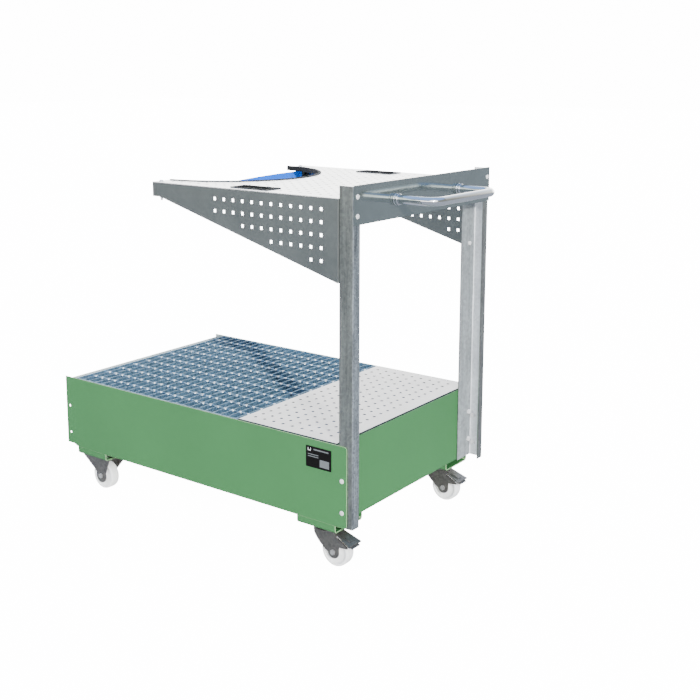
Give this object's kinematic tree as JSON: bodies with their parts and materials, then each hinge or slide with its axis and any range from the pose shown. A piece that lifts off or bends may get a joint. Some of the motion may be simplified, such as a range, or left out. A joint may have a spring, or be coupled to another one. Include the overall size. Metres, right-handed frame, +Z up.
{
  "type": "mobile spill containment pallet",
  "caption": "Wheeled steel sump with a lift-out grating and deck plate, carrying a cantilevered perforated shelf with a drum cutout, lashing strap and push handle.",
  "frame": {"origin": "centre of the length and width on the floor under the castor wheels", "axes": "+X along the length towards the push handle, +Y to the far side panel, +Z up"},
  "size_m": [1.4347, 0.7938, 1.1888],
  "materials": {
    "green_paint": "semi-gloss",
    "galvanised_sheet": "satin",
    "pale_zinc_sheet": "satin",
    "castor_zinc": "satin",
    "bright_zinc": "polished",
    "polyamide": "matte",
    "edge_rubber": "matte",
    "webbing": "woven",
    "black_plate": "satin"
  },
  "bodies": {
    "base": {"sump_tub": "green_paint", "side_panel_near": "green_paint", "side_panel_far": "green_paint", "foot_channel_front_near": "green_paint", "foot_channel_front_far": "green_paint", "foot_channel_rear_near": "green_paint", "foot_channel_rear_far": "green_paint", "ledge_near": "green_paint", "ledge_far": "green_paint", "cross_beam": "green_paint", "post_near": "galvanised_sheet", "post_far": "galvanised_sheet", "apron_plate": "galvanised_sheet", "gusset_near": "galvanised_sheet", "gusset_far": "galvanised_sheet", "shelf_plate": "pale_zinc_sheet", "fixed_bracket_near": "castor_zinc", "fixed_bracket_far": "castor_zinc", "swivel_head_near": "castor_zinc", "swivel_head_far": "castor_zinc", "push_handle": "bright_zinc", "handle_collar_near": "bright_zinc", "handle_collar_far": "bright_zinc", "strap_buckle": "bright_zinc", "strap_bolt_near": "bright_zinc", "strap_bolt_far": "bright_zinc", "panel_bolt_near_upper": "bright_zinc", "panel_bolt_near_lower": "bright_zinc", "panel_bolt_far_upper": "bright_zinc", "panel_bolt_far_lower": "bright_zinc", "apron_bolt_near_upper": "bright_zinc", "apron_bolt_near_lower": "bright_zinc", "apron_bolt_far_upper": "bright_zinc", "apron_bolt_far_lower": "bright_zinc", "gusset_bolt_near_upper": "bright_zinc", "gusset_bolt_near_lower": "bright_zinc", "gusset_bolt_far_upper": "bright_zinc", "gusset_bolt_far_lower": "bright_zinc", "fixed_axle_near": "bright_zinc", "fixed_axle_far": "bright_zinc", "cutout_trim": "edge_rubber", "slot_trim_near": "edge_rubber", "slot_trim_far": "edge_rubber", "lashing_strap": "webbing", "strap_tail": "webbing", "rating_plate": "black_plate"},
    "grating": {"grating": "galvanised_sheet"},
    "deck_plate": {"deck_plate": "pale_zinc_sheet"},
    "fixed_wheel_near": {"fixed_wheel_near": "polyamide"},
    "castor_near": {"swivel_fork_near": "castor_zinc", "swivel_axle_near": "bright_zinc"},
    "swivel_wheel_near": {"swivel_wheel_near": "polyamide"},
    "brake_near": {"brake_pedal_near": "castor_zinc"},
    "fixed_wheel_far": {"fixed_wheel_far": "polyamide"},
    "castor_far": {"swivel_fork_far": "castor_zinc", "swivel_axle_far": "bright_zinc"},
    "swivel_wheel_far": {"swivel_wheel_far": "polyamide"},
    "brake_far": {"brake_pedal_far": "castor_zinc"}
  },
  "joints": [
    {"name": "grating_lift_out", "type": "slide", "parent": "base", "child": "grating", "axis": [0, 0, 1], "range_m": [0, 0.3]},
    {"name": "deck_plate_lift_out", "type": "slide", "parent": "base", "child": "deck_plate", "axis": [0, 0, 1], "range_m": [0, 0.3]},
    {"name": "fixed_wheel_near_spin", "type": "hinge", "parent": "base", "child": "fixed_wheel_near", "pos_m": [-0.598, -0.322, 0.05], "axis": [0, 1, 0], "continuous": true},
    {"name": "castor_near_swivel", "type": "hinge", "parent": "base", "child": "castor_near", "pos_m": [0.424, -0.322, 0.115], "axis": [0, 0, 1], "continuous": true},
    {"name": "swivel_wheel_near_spin", "type": "hinge", "parent": "castor_near", "child": "swivel_wheel_near", "pos_m": [0.461, -0.322, 0.05], "axis": [0, 1, 0], "continuous": true},
    {"name": "brake_near_press", "type": "hinge", "parent": "castor_near", "child": "brake_near", "pos_m": [0.474, -0.322, 0.112], "axis": [0, 1, 0], "range_deg": [0, 10]},
    {"name": "fixed_wheel_far_spin", "type": "hinge", "parent": "base", "child": "fixed_wheel_far", "pos_m": [-0.598, 0.322, 0.05], "axis": [0, 1, 0], "continuous": true},
    {"name": "castor_far_swivel", "type": "hinge", "parent": "base", "child": "castor_far", "pos_m": [0.424, 0.322, 0.115], "axis": [0, 0, 1], "continuous": true},
    {"name": "swivel_wheel_far_spin", "type": "hinge", "parent": "castor_far", "child": "swivel_wheel_far", "pos_m": [0.461, 0.322, 0.05], "axis": [0, 1, 0], "continuous": true},
    {"name": "brake_far_press", "type": "hinge", "parent": "castor_far", "child": "brake_far", "pos_m": [0.474, 0.322, 0.112], "axis": [0, 1, 0], "range_deg": [0, 10]}
  ]
}
